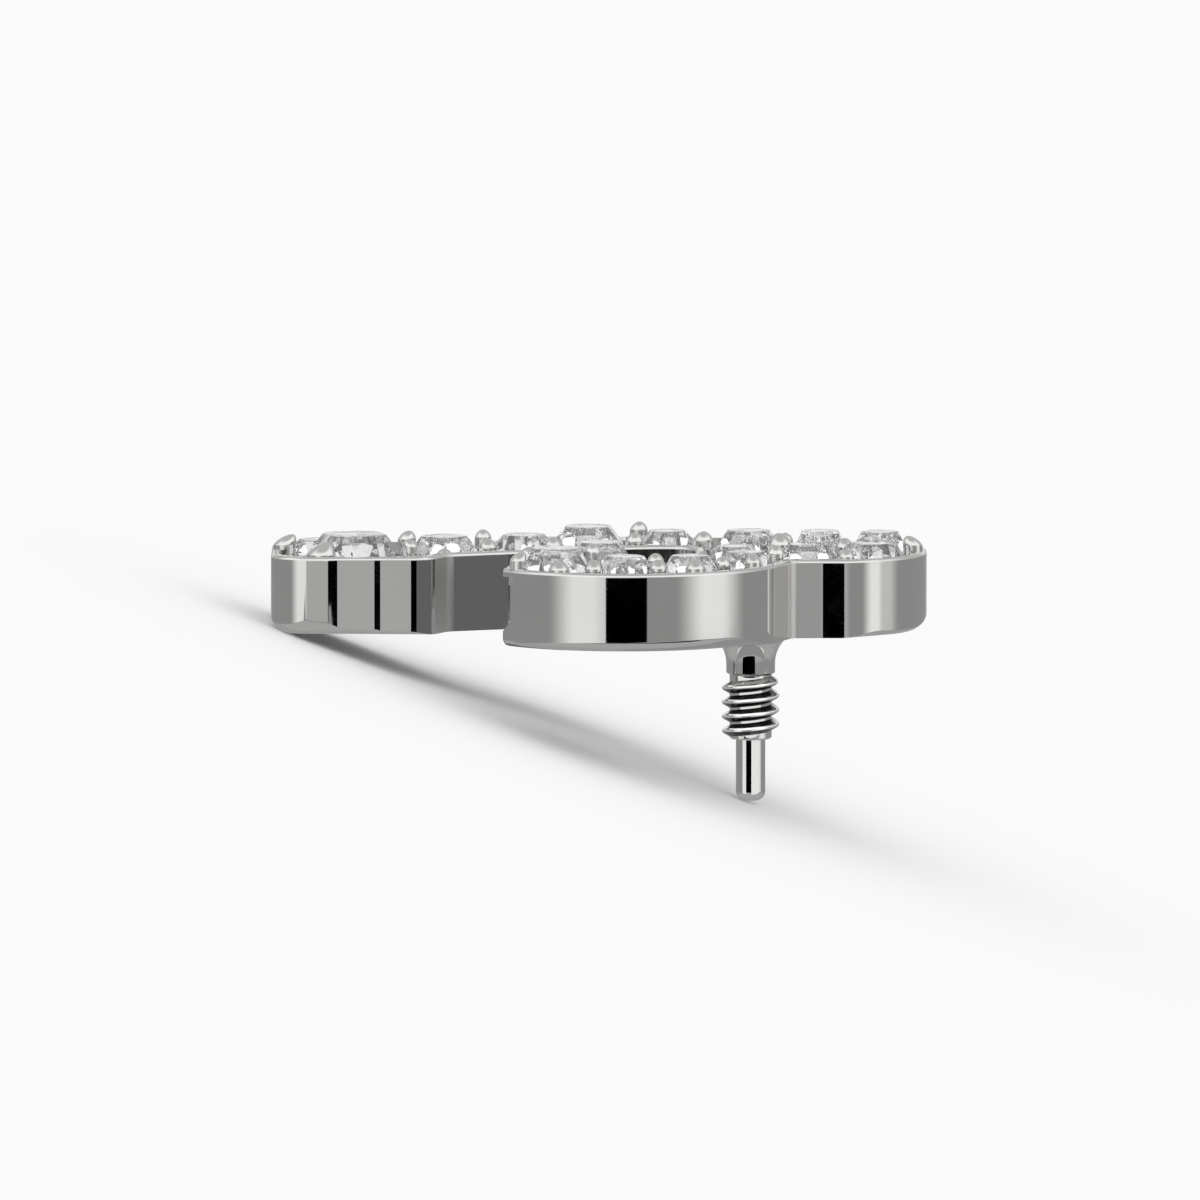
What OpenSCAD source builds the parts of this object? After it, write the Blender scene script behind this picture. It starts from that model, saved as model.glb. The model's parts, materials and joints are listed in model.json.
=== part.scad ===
// Threaded piercing top: a hook-shaped metal plate set with clear stones, on a threaded post.
// Plan places are x to the right of the plate's middle and y back from its front-most wall.

/* [Plate] */
// Height of the polished side wall
plate_h = 1.23; // [1:0.01:1.5]
// Width of the raised rim around the stones
rim_w = 0.13; // [0.1:0.01:0.16]
// Drop from the rim to the floor that the stones sit in
rim_rise = 0.08; // [0.04:0.01:0.12]
// Radius of the rounded lower edge at the ends and the back
edge_r = 0.35; // [0.2:0.01:0.4]
// Depth of the groove under the rim, at the tip of the front arm
groove_d = 0.14; // [0.05:0.01:0.16]

/* [Post] */
// Place of the post's axis, to the right of the plate's middle
post_x = 2.37; // [2.3:0.01:2.6]
// Place of the post's axis, back from the front-most wall
post_y = 3.25; // [3.1:0.01:3.7]
// Diameter of the plain shank
shank_d = 0.765; // [0.75:0.005:0.8]
// Length of the plain shank
shank_len = 0.62; // [0.5:0.01:0.8]
// Radius of the flare where the shank meets the plate
flare_r = 0.45; // [0.2:0.01:0.5]
// Outer diameter of the thread
thread_d = 0.9; // [0.85:0.01:1]
// Diameter of the core under the thread, halfway down
core_d = 0.66; // [0.6:0.01:0.7]
// Pitch of the thread
pitch = 0.225; // [0.2:0.005:0.25]
// Number of turns of the thread
turns = 3.9; // [3:0.1:4]
// Length of the threaded core
core_len = 1.04; // [0.95:0.01:1.2]
// Diameter of the guide pin
pin_d = 0.46; // [0.4:0.01:0.46]
// Length of the guide pin
pin_len = 0.97; // [0.6:0.01:1.2]

/* [Stones] */
// Width of a stone's table as a share of its diameter
table_share = 0.62; // [0.5:0.01:0.68]
// Depth of a stone's lower cone as a share of its diameter
cone_share = 0.42; // [0.38:0.01:0.44]
// Depth of the girdle below the rim as a share of the diameter
sink_share = 0.085; // [0.06:0.005:0.1]
// Height of the girdle's edge
girdle_h = 0.04; // [0.02:0.01:0.06]
// Clearance between a stone and the metal
seat_gap = 0.02; // [0.01:0.005:0.03]

/* [Hidden] */
$fn = 48;

// Corners of the plate's outline, from the front arm's tip to the right: x, y, corner radius
outline = [
    [-1.50, 1.00, 0.12],
    [-0.72, 0.00, 2.25],
    [2.18, 0.00, 2.42],
    [2.95, 2.35, 0.20],
    [3.48, 2.42, 0.40],
    [5.13, 2.38, 1.34],
    [5.13, 5.15, 0.80],
    [3.20, 5.05, 0.90],
    [2.30, 6.12, 0.70],
    [-0.90, 6.45, 1.00],
    [-2.20, 5.05, 0.80],
    [-3.60, 5.62, 0.80],
    [-5.13, 5.60, 0.55],
    [-5.13, 2.92, 0.50],
    [-4.57, 2.80, 0.00],
    [-4.20, 2.82, 0.10],
    [-4.08, 2.85, 0.10],
    [-3.54, 2.867, 0.10],
    [-3.42, 2.89, 0.10],
    [-2.80, 2.89, 0.25],
    [-2.42, 3.44, 0.50],
    [0.60, 4.72, 1.50],
    [1.50, 4.80, 0.45],
    [1.50, 1.72, 0.45],
    [0.78, 1.72, 0.24],
    [0.66, 2.75, 0.40],
    [-0.20, 2.98, 0.50],
    [-1.25, 2.75, 0.30]
];
// Largest turn between two points on a rounded corner
arc_step = 8;

// Rounded discs that the blank is wrapped around, before its walls are cut: x, y, radius
left_blank = [
    [-4.58, 3.36, 0.57],
    [-4.52, 5.02, 0.63],
    [-3.60, 4.76, 0.90],
    [-2.20, 3.90, 1.25]
];
main_blank = [
    [0.40, 2.50, 2.56],
    [3.78, 3.73, 1.37],
    [4.33, 4.35, 0.82],
    [1.90, 5.20, 0.95],
    [-0.70, 5.40, 1.07]
];
blank_top = 2;

// Stones, left to right and back to front: x, y, diameter, height of the table above the rim, turn
stones = [
    [-3.83, 3.68, 1.60, 0.29, 10],
    [-4.42, 4.82, 0.90, 0.10, 4],
    [-2.43, 4.28, 1.14, 0.20, 31],
    [-1.18, 4.95, 1.05, 0.16, 8],
    [-0.18, 5.55, 1.20, 0.24, 17],
    [1.08, 5.42, 0.94, 0.18, 25],
    [2.34, 4.52, 1.08, 0.27, 2],
    [3.46, 4.12, 0.90, 0.30, 14],
    [4.40, 4.42, 0.92, 0.26, 36],
    [-0.68, 1.16, 1.24, 0.31, 6],
    [0.02, 2.25, 1.08, 0.30, 20],
    [0.41, 0.72, 0.94, 0.22, 12],
    [1.42, 1.04, 0.92, 0.20, 33],
    [2.28, 1.78, 0.90, 0.19, 5],
    [2.12, 2.95, 0.90, 0.17, 28],
    [3.27, 3.03, 0.98, 0.19, 15],
    [4.28, 3.36, 1.08, 0.18, 9]
];

// Prongs and beads between the stones: x, y, diameter, height above the rim
prongs = [
    [-4.93, 4.22, 0.28, 0.22],
    [-4.26, 3.00, 0.28, 0.20],
    [-2.94, 3.52, 0.22, 0.20],
    [-3.02, 4.72, 0.26, 0.22],
    [-3.80, 4.66, 0.24, 0.18],
    [-1.74, 4.22, 0.26, 0.16],
    [-1.82, 4.92, 0.24, 0.24],
    [-2.42, 3.66, 0.20, 0.06],
    [-0.72, 4.50, 0.24, 0.16],
    [0.56, 5.02, 0.26, 0.18],
    [0.62, 5.96, 0.24, 0.26],
    [1.64, 5.02, 0.28, 0.20],
    [2.84, 4.06, 0.32, 0.26],
    [2.92, 4.80, 0.22, 0.20],
    [3.84, 3.68, 0.26, 0.22],
    [4.92, 3.84, 0.26, 0.22],
    [3.86, 2.66, 0.22, 0.14],
    [2.76, 2.72, 0.26, 0.20],
    [-1.26, 0.92, 0.24, 0.26],
    [-0.62, 0.46, 0.26, 0.16],
    [-0.08, 0.44, 0.24, 0.18],
    [-0.10, 1.46, 0.26, 0.34],
    [0.92, 0.52, 0.26, 0.18],
    [0.88, 1.36, 0.24, 0.20],
    [1.50, 0.50, 0.24, 0.18],
    [1.92, 1.24, 0.24, 0.16],
    [2.42, 1.26, 0.22, 0.18],
    [-1.10, 1.78, 0.24, 0.26]
];
prong_root = 0.25;

rim_z = plate_h;
floor_z = plate_h - rim_rise;
core_z = -shank_len - core_len;
tip_z = core_z - pin_len;
tip_r = 0.15;

// Ends of the groove, along the left wall of the front arm
groove_from = [-1.56, 0.58];
groove_to = [-1.21, 3.03];
// Heights of the groove's lower lip, lower flank and upper lip
groove_z = [0.24, 0.41, 1.10];

function unit(v) = v / norm(v);
function left_of(v) = [-v.y, v.x];
function spin(v, a) = [v.x * cos(a) - v.y * sin(a), v.x * sin(a) + v.y * cos(a)];
function plan(row) = [row.x, row.y];
function wrap(list, i) = list[(i + len(list)) % len(list)];

// Points of one rounded corner at b, on the way from a to c
function corner(a, b, c, r) =
    let (
        u = unit(b - a),
        v = unit(c - b),
        turn = atan2(cross(u, v), u * v),
        start = b - u * r * tan(abs(turn) / 2),
        middle = start + left_of(u) * sign(turn) * r,
        n = max(1, ceil(abs(turn) / arc_step))
    )
    r == 0 ? [b] : [for (i = [0:n]) middle + spin(start - middle, turn * i / n)];

function rounded(path) = [
    for (i = [0:len(path) - 1])
        each corner(plan(wrap(path, i - 1)), plan(path[i]), plan(wrap(path, i + 1)), path[i].z)
];

// The same corners, moved inwards by d
function inset_path(path, d) = [
    for (i = [0:len(path) - 1])
        let (
            u = unit(plan(path[i]) - plan(wrap(path, i - 1))),
            v = unit(plan(wrap(path, i + 1)) - plan(path[i])),
            shift = (left_of(u) + left_of(v)) * d / (1 + u * v),
            side = sign(cross(u, v)),
            r = path[i].z - side * d
        )
        [path[i].x + shift.x, path[i].y + shift.y, max(r, 0.02)]
];

// A disc whose lower edge is rounded
module rounded_disc(r) {
    arc = [for (a = [0:18:90]) [r - edge_r + edge_r * sin(a), edge_r - edge_r * cos(a)]];
    rotate_extrude($fn = 32) polygon(concat([[0, 0]], arc, [[r, blank_top], [0, blank_top]]));
}

module wrapped_discs(discs) {
    hull()
        for (d = discs)
            translate([d.x, d.y, 0]) rounded_disc(d.z);
}

module blank() {
    wrapped_discs(left_blank);
    wrapped_discs(main_blank);
}

module groove() {
    along = groove_to - groove_from;
    out = 0.1;
    flank = (groove_z[1] - groove_z[0]) / groove_d;
    profile = [
        [-out, groove_z[0] - out * flank],
        [groove_d, groove_z[1]],
        [groove_d, groove_z[2]],
        [-out, groove_z[2]]
    ];
    translate([groove_to.x, groove_to.y, 0])
        rotate([90, 0, atan2(along.y, along.x) - 90])
            linear_extrude(norm(along)) polygon(profile);
}

// Height of a stone's girdle, from its row in the table
function girdle_z(s) = rim_z - sink_share * s[2];
function crown_h(s) = s[3] + sink_share * s[2];

// The room that a stone takes in the metal. The wall of a seat goes straight up past the crown.
module stone_room(s, straight) {
    r = s[2] / 2 + seat_gap;
    top = girdle_z(s) + seat_gap;
    low = girdle_z(s) - girdle_h - seat_gap;
    tip = low - cone_share * s[2] - seat_gap;
    table_r = s[2] / 2 * table_share + seat_gap;
    crown = [[r, top], [table_r, top + crown_h(s)], [0, top + crown_h(s)]];
    shaft = [[r, blank_top], [0, blank_top]];
    translate([s.x, s.y, 0])
        rotate_extrude() polygon(concat([[0, tip], [r, low]], straight ? shaft : crown));
}

module prong(p) {
    r = p[2] / 2;
    height = prong_root + p[3];
    translate([p.x, p.y, rim_z - prong_root])
        rotate_extrude() {
            square([r, height - r]);
            intersection() {
                translate([0, height - r]) circle(r);
                translate([0, height - r]) square(r);
            }
        }
}

module plate() {
    difference() {
        intersection() {
            linear_extrude(rim_z) polygon(rounded(outline));
            blank();
        }
        translate([0, 0, floor_z]) linear_extrude(1) polygon(rounded(inset_path(outline, rim_w)));
        groove();
        for (s = stones) stone_room(s, true);
    }
}

module all_prongs() {
    difference() {
        for (p = prongs) prong(p);
        for (s = stones) stone_room(s, false);
    }
}

// The flare crosses the underside at a small angle and is kept inside the walls
module flare() {
    r = shank_d / 2;
    drop = flare_r * 0.96;
    reach = r + flare_r - sqrt(pow(flare_r, 2) - pow(drop, 2));
    rotate_extrude()
        difference() {
            translate([0, -drop]) square([reach, drop + 0.1]);
            translate([r + flare_r, -drop]) circle(flare_r);
        }
}

// Everything of the post that is turned about its axis, in one outline. The core narrows a
// little towards its end.
module turned_post() {
    step = 0.03;
    taper = 0.003;
    shank_r = shank_d / 2;
    core_r = core_d / 2;
    pin_r = pin_d / 2;
    rotate_extrude() {
        polygon([
            [0, 0.3],
            [shank_r, 0.3],
            [shank_r, -shank_len],
            [core_r + taper, -shank_len - step],
            [core_r - taper, core_z + step],
            [core_r - step, core_z],
            [pin_r, core_z],
            [pin_r, tip_z + tip_r],
            [pin_r - tip_r, tip_z],
            [0, tip_z]
        ]);
        intersection() {
            translate([pin_r - tip_r, tip_z + tip_r]) circle(tip_r);
            translate([pin_r - tip_r, tip_z]) square([tip_r, tip_r]);
        }
    }
}

// One right-hand ridge round the core, which fades out at both ends
module thread() {
    steps = 18;
    count = round(turns * steps);
    start = 120;
    low_z = core_z + 0.09;
    root_r = core_d / 2 - 0.04;
    crest = 0.015;
    fade = [1 / 5, 1 / 3];
    function rise(i) = min(1, (i + 0.5) / steps / fade[0], (count - i + 0.5) / steps / fade[1]);
    function ring(i) =
        let (
            a = start + 360 * i / steps,
            z = low_z + pitch * i / steps,
            tall = (thread_d / 2 - core_d / 2) * rise(i),
            crest_r = core_d / 2 + tall,
            base = crest + (crest_r - root_r) * tan(30)
        )
        [
            [root_r * cos(a), root_r * sin(a), z - base],
            [crest_r * cos(a), crest_r * sin(a), z - crest],
            [crest_r * cos(a), crest_r * sin(a), z + crest],
            [root_r * cos(a), root_r * sin(a), z + base]
        ];
    sides = [
        for (i = [0:count - 1])
            for (k = [0:3])
                [i * 4 + k, i * 4 + (k + 1) % 4, (i + 1) * 4 + (k + 1) % 4, (i + 1) * 4 + k]
    ];
    last = count * 4;
    polyhedron(
        [for (i = [0:count]) each ring(i)],
        concat([[3, 2, 1, 0]], sides, [[last, last + 1, last + 2, last + 3]])
    );
}

module post() {
    translate([post_x, post_y, 0]) {
        turned_post();
        flare();
        thread();
    }
}

// A round brilliant: table, stars, kites and girdle facets above, the same order below
module brilliant(s) {
    r = s[2] / 2;
    table_r = r * table_share;
    crown = crown_h(s);
    cone = cone_share * s[2];
    star_r = r * 0.86;
    star_z = crown * (r - star_r * cos(22.5)) / (r - table_r);
    lower_r = r * 0.3;
    lower_z = -girdle_h - cone * (r - lower_r * cos(22.5)) / r;
    points = concat(
        [for (k = [0:7]) [table_r * cos(45 * k), table_r * sin(45 * k), crown]],
        [for (k = [0:7]) [star_r * cos(45 * k + 22.5), star_r * sin(45 * k + 22.5), star_z]],
        [for (k = [0:15]) [r * cos(22.5 * k), r * sin(22.5 * k), 0]],
        [for (k = [0:15]) [r * cos(22.5 * k), r * sin(22.5 * k), -girdle_h]],
        [for (k = [0:7]) [lower_r * cos(45 * k + 22.5), lower_r * sin(45 * k + 22.5), lower_z]],
        [[0, 0, -girdle_h - cone]]
    );
    star = 8;
    upper = 16;
    under = 32;
    lower = 48;
    tip = 56;
    faces = concat(
        [[for (k = [7:-1:0]) k]],
        [for (k = [0:7]) [k, (k + 1) % 8, star + k]],
        [for (k = [0:7]) [star + (k + 7) % 8, k, star + k, upper + 2 * k]],
        [for (k = [0:7]) [upper + 2 * k, star + k, upper + 2 * k + 1]],
        [for (k = [0:7]) [upper + 2 * k + 1, star + k, upper + (2 * k + 2) % 16]],
        [for (k = [0:15]) [upper + k, upper + (k + 1) % 16, under + (k + 1) % 16, under + k]],
        [for (k = [0:7]) [under + 2 * k, under + 2 * k + 1, lower + k]],
        [for (k = [0:7]) [under + 2 * k + 1, under + (2 * k + 2) % 16, lower + k]],
        [for (k = [0:7]) [lower + (k + 7) % 8, under + 2 * k, lower + k, tip]]
    );
    rotate([0, 0, s[4]]) polyhedron(points, faces);
}

// Laid down, the piece leans on the tip of the guide pin and on the plate's rounded left edge.
// Centres of the two rounds that touch the floor, in x and z
tip_centre = [post_x - pin_d / 2 + tip_r, tip_z + tip_r];
left_centre = [left_blank[0].x - left_blank[0].z + edge_r, edge_r];
right_centre = [main_blank[1].x + main_blank[1].z - edge_r, edge_r];
reach = left_centre - tip_centre;
lean = atan2(reach.y, -reach.x) - asin((edge_r - tip_r) / norm(reach));
// Ends of the leaning piece along x, its lowest height, and the depth of the plan
lean_left = outline[12].x * cos(lean) - plate_h * sin(lean);
lean_right = right_centre.x * cos(lean) - right_centre.y * sin(lean) + edge_r;
lean_low = tip_centre.x * sin(lean) + tip_centre.y * cos(lean) - tip_r;
plan_depth = max([for (p = rounded(outline)) p.y]);

// Moves a finished piece from the plan's own frame to how it rests
module at_rest() {
    translate([-(lean_left + lean_right) / 2, -plan_depth / 2, -lean_low])
        rotate([0, -lean, 0])
            children();
}

module setting() {
    color("silver")
        at_rest() {
            plate();
            all_prongs();
            post();
        }
}

module stone(i) {
    s = stones[i];
    color("aliceblue")
        at_rest()
            translate([s.x, s.y, girdle_z(s)]) brilliant(s);
}

setting();
stone(0);  // stone_01
stone(1);  // stone_02
stone(2);  // stone_03
stone(3);  // stone_04
stone(4);  // stone_05
stone(5);  // stone_06
stone(6);  // stone_07
stone(7);  // stone_08
stone(8);  // stone_09
stone(9);  // stone_10
stone(10);  // stone_11
stone(11);  // stone_12
stone(12);  // stone_13
stone(13);  // stone_14
stone(14);  // stone_15
stone(15);  // stone_16
stone(16);  // stone_17
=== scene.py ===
import json
import math

import bmesh
import bpy
from mathutils import Matrix, Vector


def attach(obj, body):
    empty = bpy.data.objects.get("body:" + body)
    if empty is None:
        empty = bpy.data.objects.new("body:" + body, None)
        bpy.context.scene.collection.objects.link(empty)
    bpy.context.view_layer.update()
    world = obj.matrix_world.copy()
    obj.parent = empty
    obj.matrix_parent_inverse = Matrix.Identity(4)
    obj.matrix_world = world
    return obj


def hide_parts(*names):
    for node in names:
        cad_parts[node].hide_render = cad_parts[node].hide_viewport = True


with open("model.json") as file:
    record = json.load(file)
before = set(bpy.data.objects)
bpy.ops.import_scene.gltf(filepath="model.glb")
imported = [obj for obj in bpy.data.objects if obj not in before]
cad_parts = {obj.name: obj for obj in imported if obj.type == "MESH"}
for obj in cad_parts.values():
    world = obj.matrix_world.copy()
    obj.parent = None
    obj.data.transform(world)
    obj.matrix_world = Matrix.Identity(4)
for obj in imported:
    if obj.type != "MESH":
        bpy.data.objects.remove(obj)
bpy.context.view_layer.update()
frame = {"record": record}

# How the piece lies
# Laid down, the piece leans on the tip of its guide pin and on the rounded left edge of the plate. The
# metal is modelled upright, in millimetres, with the front wall at y = 0 and the underside at z = 0, and
# is then laid down.
POST_X = 2.37
POST_Y = 3.25
PIN_MIDDLE_Z = -2.07
MM = 0.001

pin_mount = next(m for m in frame["record"]["mounts"] if m["name"] == "guide_pin")
lean = math.atan2(pin_mount["axis"][0], -pin_mount["axis"][2])
laid_down = (
    Matrix.Translation(Vector(pin_mount["pos_m"]))
    @ Matrix.Rotation(-lean, 4, "Y")
    @ Matrix.Scale(MM, 4)
    @ Matrix.Translation(Vector((-POST_X, -POST_Y, -PIN_MIDDLE_Z)))
)


# Camera
# A long lens, level with the plate's front and 5.5 degrees above it. It turns with the piece, so that
# the plate lies level in the picture. The scale comes from the pitch of the thread.
PHOTO_WIDTH_PIXELS = 1200
PIXELS_PER_MM = 64.5
PHOTO_WIDTH_MM = PHOTO_WIDTH_PIXELS / PIXELS_PER_MM
CAMERA_RISE = math.radians(5.5)
CAMERA_AWAY_MM = 400
SEEN_MIDDLE = Vector((0.015, 0.0, 0.83))

camera_data = bpy.data.cameras.new("camera")
camera_data.lens = camera_data.sensor_width * CAMERA_AWAY_MM / PHOTO_WIDTH_MM
camera_data.clip_start = 0.05
camera_data.clip_end = 10
camera = bpy.data.objects.new("camera", camera_data)
bpy.context.scene.collection.objects.link(camera)
bpy.context.scene.camera = camera
camera_place = (
    laid_down
    @ Matrix.Translation(SEEN_MIDDLE)
    @ Matrix.Rotation(math.pi / 2 - CAMERA_RISE, 4, "X")
    @ Matrix.Translation(Vector((0, 0, CAMERA_AWAY_MM)))
)
camera.matrix_world = camera_place.normalized()


# Plate
# The real plate is cast or milled in one piece: a prism with upright walls, cut from a blank whose lower
# edge was rounded over first. The rounding shows at both ends and fades out along the front walls.
PLATE_HEIGHT = 1.23
ARC_STEP = math.radians(2.5)
# Heights closer than this count as the same
HAIR = 0.001
# The corners of the plan: x, y, radius
OUTLINE = [
    (-1.50, 1.00, 0.12),
    (-0.72, 0.00, 2.25),
    (2.18, 0.00, 2.42),
    (3.01, 2.385, 0.13),
    (3.48, 2.41, 0.60),
    (4.16, 2.385, 0.85),
    (5.13, 3.263, 1.75),
    (5.13, 5.15, 0.80),
    (3.20, 5.05, 0.90),
    (2.30, 6.12, 0.70),
    (-0.90, 6.45, 1.00),
    (-2.20, 5.05, 0.80),
    (-3.60, 5.62, 0.80),
    (-5.13, 5.60, 0.55),
    (-5.13, 2.92, 0.65),
    (-4.57, 2.80, 0.00),
    (-4.23, 2.80, 0.05),
    (-4.09, 2.834, 0.05),
    (-3.505, 2.834, 0.05),
    (-3.42, 2.853, 0.05),
    (-2.665, 2.853, 0.45),
    (-2.36, 3.465, 0.28),
    (0.60, 4.72, 1.50),
    (1.50, 4.80, 0.45),
    (1.50, 1.72, 0.45),
    (0.78, 1.72, 0.24),
    (0.66, 2.75, 0.40),
    (-0.20, 2.98, 0.50),
    (-1.25, 2.75, 0.30),
]
# The discs that the two halves of the blank are wrapped round: x, y, radius
LEFT_BLANK = [(-4.58, 3.36, 0.57), (-4.52, 5.02, 0.63), (-3.60, 4.76, 0.90), (-2.20, 3.90, 1.25)]
MAIN_BLANK = [
    (0.40, 2.50, 2.56),
    (3.78, 3.73, 1.37),
    (4.33, 4.35, 0.82),
    (1.90, 5.20, 0.95),
    (-0.70, 5.40, 1.07),
]
EDGE_ROUND = 0.35
BLANK_TOP = 2.0
RIM_ROUND = 0.06
# The front arm's tip, whose lower edge is rounded over
TIP_ROUNDING = 0.13
TIP_RIGHT = -1.15
TIP_FRONT = 0.7
TIP_BACK = 2.7


def add_object(operator, name, **options):
    bpy.ops.object.select_all(action="DESELECT")
    operator(**options)
    made = bpy.context.object
    made.name = made.data.name = name
    return made


def choose_edges(obj, wanted):
    """Leaves the object in edit mode with only the wanted edges selected."""
    bpy.ops.object.mode_set(mode="EDIT")
    bpy.ops.mesh.select_all(action="DESELECT")
    bpy.ops.mesh.select_mode(type="EDGE")
    shape = bmesh.from_edit_mesh(obj.data)
    for edge in shape.edges:
        edge.select_set(wanted(edge))
    bmesh.update_edit_mesh(obj.data)


def face_outwards(obj):
    bpy.ops.object.mode_set(mode="EDIT")
    bpy.ops.mesh.select_all(action="SELECT")
    bpy.ops.mesh.normals_make_consistent(inside=False)
    bpy.ops.object.mode_set(mode="OBJECT")


def cut(obj, tool, operation, tool_overlaps=False):
    """Joins, cuts or keeps what lies inside another shape, which is used up."""
    modifier = obj.modifiers.new("cut", "BOOLEAN")
    modifier.operation = operation
    modifier.object = tool
    modifier.solver = "EXACT"
    modifier.use_self = tool_overlaps
    bpy.context.view_layer.objects.active = obj
    bpy.ops.object.modifier_apply(modifier=modifier.name)
    bpy.data.objects.remove(tool)


def join(parts, name):
    bpy.ops.object.select_all(action="DESELECT")
    for part in parts:
        part.select_set(True)
    bpy.context.view_layer.objects.active = parts[0]
    bpy.ops.object.join()
    parts[0].name = parts[0].data.name = name
    return parts[0]


def rounded(outline):
    """The points of an outline with its corners rounded."""
    points = []
    for i, (x, y, radius) in enumerate(outline):
        before = Vector(outline[i - 1][:2])
        here = Vector((x, y))
        after = Vector(outline[(i + 1) % len(outline)][:2])
        way_in = (here - before).normalized()
        way_out = (after - here).normalized()
        turn = math.atan2(way_in.x * way_out.y - way_in.y * way_out.x, way_in.dot(way_out))
        if radius == 0:
            points.append(here)
            continue
        start = here - way_in * radius * math.tan(abs(turn) / 2)
        side = Vector((-way_in.y, way_in.x)) * math.copysign(radius, turn)
        middle = start + side
        steps = max(2, math.ceil(abs(turn) / ARC_STEP))
        for k in range(steps + 1):
            points.append(middle + Matrix.Rotation(turn * k / steps, 2) @ (start - middle))
    return points


def inset(outline, distance):
    """The same corners, moved inwards."""
    moved = []
    for i, (x, y, radius) in enumerate(outline):
        here = Vector((x, y))
        way_in = (here - Vector(outline[i - 1][:2])).normalized()
        way_out = (Vector(outline[(i + 1) % len(outline)][:2]) - here).normalized()
        lefts = Vector((-way_in.y, way_in.x)) + Vector((-way_out.y, way_out.x))
        shift = lefts * distance / (1 + way_in.dot(way_out))
        side = math.copysign(1, way_in.x * way_out.y - way_in.y * way_out.x)
        moved.append((x + shift.x, y + shift.y, max(radius - side * distance, 0.02)))
    return moved


def prism(name, points, low, high):
    """A flat face with the outline's points, pulled up."""
    obj = add_object(
        bpy.ops.mesh.primitive_circle_add, name, vertices=len(points), fill_type="NGON"
    )
    for vertex, point in zip(obj.data.vertices, points):
        vertex.co = (point.x, point.y, low)
    bpy.ops.object.mode_set(mode="EDIT")
    bpy.ops.mesh.select_all(action="SELECT")
    bpy.ops.mesh.extrude_region_move(TRANSFORM_OT_translate={"value": (0, 0, high - low)})
    bpy.ops.object.mode_set(mode="OBJECT")
    face_outwards(obj)
    return obj


def wrapped_discs(name, discs):
    """One half of the blank: discs with a rounded lower edge, with a skin wrapped round them."""
    made = []
    for x, y, radius in discs:
        disc = add_object(
            bpy.ops.mesh.primitive_cylinder_add,
            name,
            vertices=120,
            radius=radius,
            depth=BLANK_TOP,
            location=(x, y, BLANK_TOP / 2),
        )
        bpy.ops.object.transform_apply()
        choose_edges(disc, lambda edge: all(v.co.z < HAIR for v in edge.verts))
        bpy.ops.mesh.bevel(offset=EDGE_ROUND, segments=10, affect="EDGES", clamp_overlap=False)
        bpy.ops.object.mode_set(mode="OBJECT")
        made.append(disc)
    half = join(made, name)
    bpy.ops.object.mode_set(mode="EDIT")
    bpy.ops.mesh.select_all(action="SELECT")
    bpy.ops.mesh.convex_hull()
    bpy.ops.object.mode_set(mode="OBJECT")
    return half


def at_the_tip(edge):
    """The lower edge round the end of the front arm."""
    return all(
        v.co.z < HAIR and v.co.x < TIP_RIGHT and TIP_FRONT < v.co.y < TIP_BACK for v in edge.verts
    )


metal = prism("metal", rounded(OUTLINE), 0, PLATE_HEIGHT)
choose_edges(metal, at_the_tip)
bpy.ops.mesh.bevel(offset=TIP_ROUNDING, segments=6, affect="EDGES", clamp_overlap=False)
bpy.ops.object.mode_set(mode="OBJECT")
blank = wrapped_discs("blank", MAIN_BLANK)
cut(blank, wrapped_discs("left_blank", LEFT_BLANK), "UNION")
cut(metal, blank, "INTERSECT")
choose_edges(metal, lambda edge: all(v.co.z > PLATE_HEIGHT - HAIR for v in edge.verts))
bpy.ops.mesh.bevel(offset=RIM_ROUND, segments=5, affect="EDGES", clamp_overlap=False)
bpy.ops.object.mode_set(mode="OBJECT")


# Floor, seats and groove
# The raised rim is what is left round the sunk floor. Each stone has a seat drilled into that floor, and
# the end of the front arm is undercut below its rim.
RIM_WIDTH = 0.13
FLOOR_DROP = 0.08
SEAT_GAP = 0.02
SINK_SHARE = 0.085
CONE_SHARE = 0.42
TABLE_SHARE = 0.62
GIRDLE_HEIGHT = 0.04
SHOULDER_RADIUS = 0.40
SHOULDER_HEIGHT = 0.74
GROOVE_ENDS = [Vector((-1.56, 0.58)), Vector((-1.21, 3.03))]
GROOVE_DEPTH = 0.14
GROOVE_HEIGHTS = (0.24, 0.41, 1.10)
GROOVE_OVERSHOOT = 0.1
# What is turned on a lathe ends in a tiny flat, so that its pole is closed
POLE_RADIUS = 0.01
# The stones: x, y, diameter, height of the table above the rim
STONES = [
    (-3.83, 3.68, 1.60, 0.29),
    (-4.42, 4.82, 0.90, 0.10),
    (-2.43, 4.28, 1.14, 0.20),
    (-1.18, 4.95, 1.05, 0.16),
    (-0.18, 5.55, 1.20, 0.24),
    (1.08, 5.42, 0.94, 0.18),
    (2.34, 4.52, 1.08, 0.27),
    (3.46, 4.12, 0.90, 0.30),
    (4.40, 4.42, 0.92, 0.26),
    (-0.68, 1.16, 1.24, 0.31),
    (0.02, 2.25, 1.08, 0.30),
    (0.41, 0.72, 0.94, 0.22),
    (1.42, 1.04, 0.92, 0.20),
    (2.28, 1.78, 0.90, 0.19),
    (2.12, 2.95, 0.90, 0.17),
    (3.27, 3.03, 0.98, 0.19),
    (4.28, 3.36, 1.08, 0.18),
]


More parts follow.
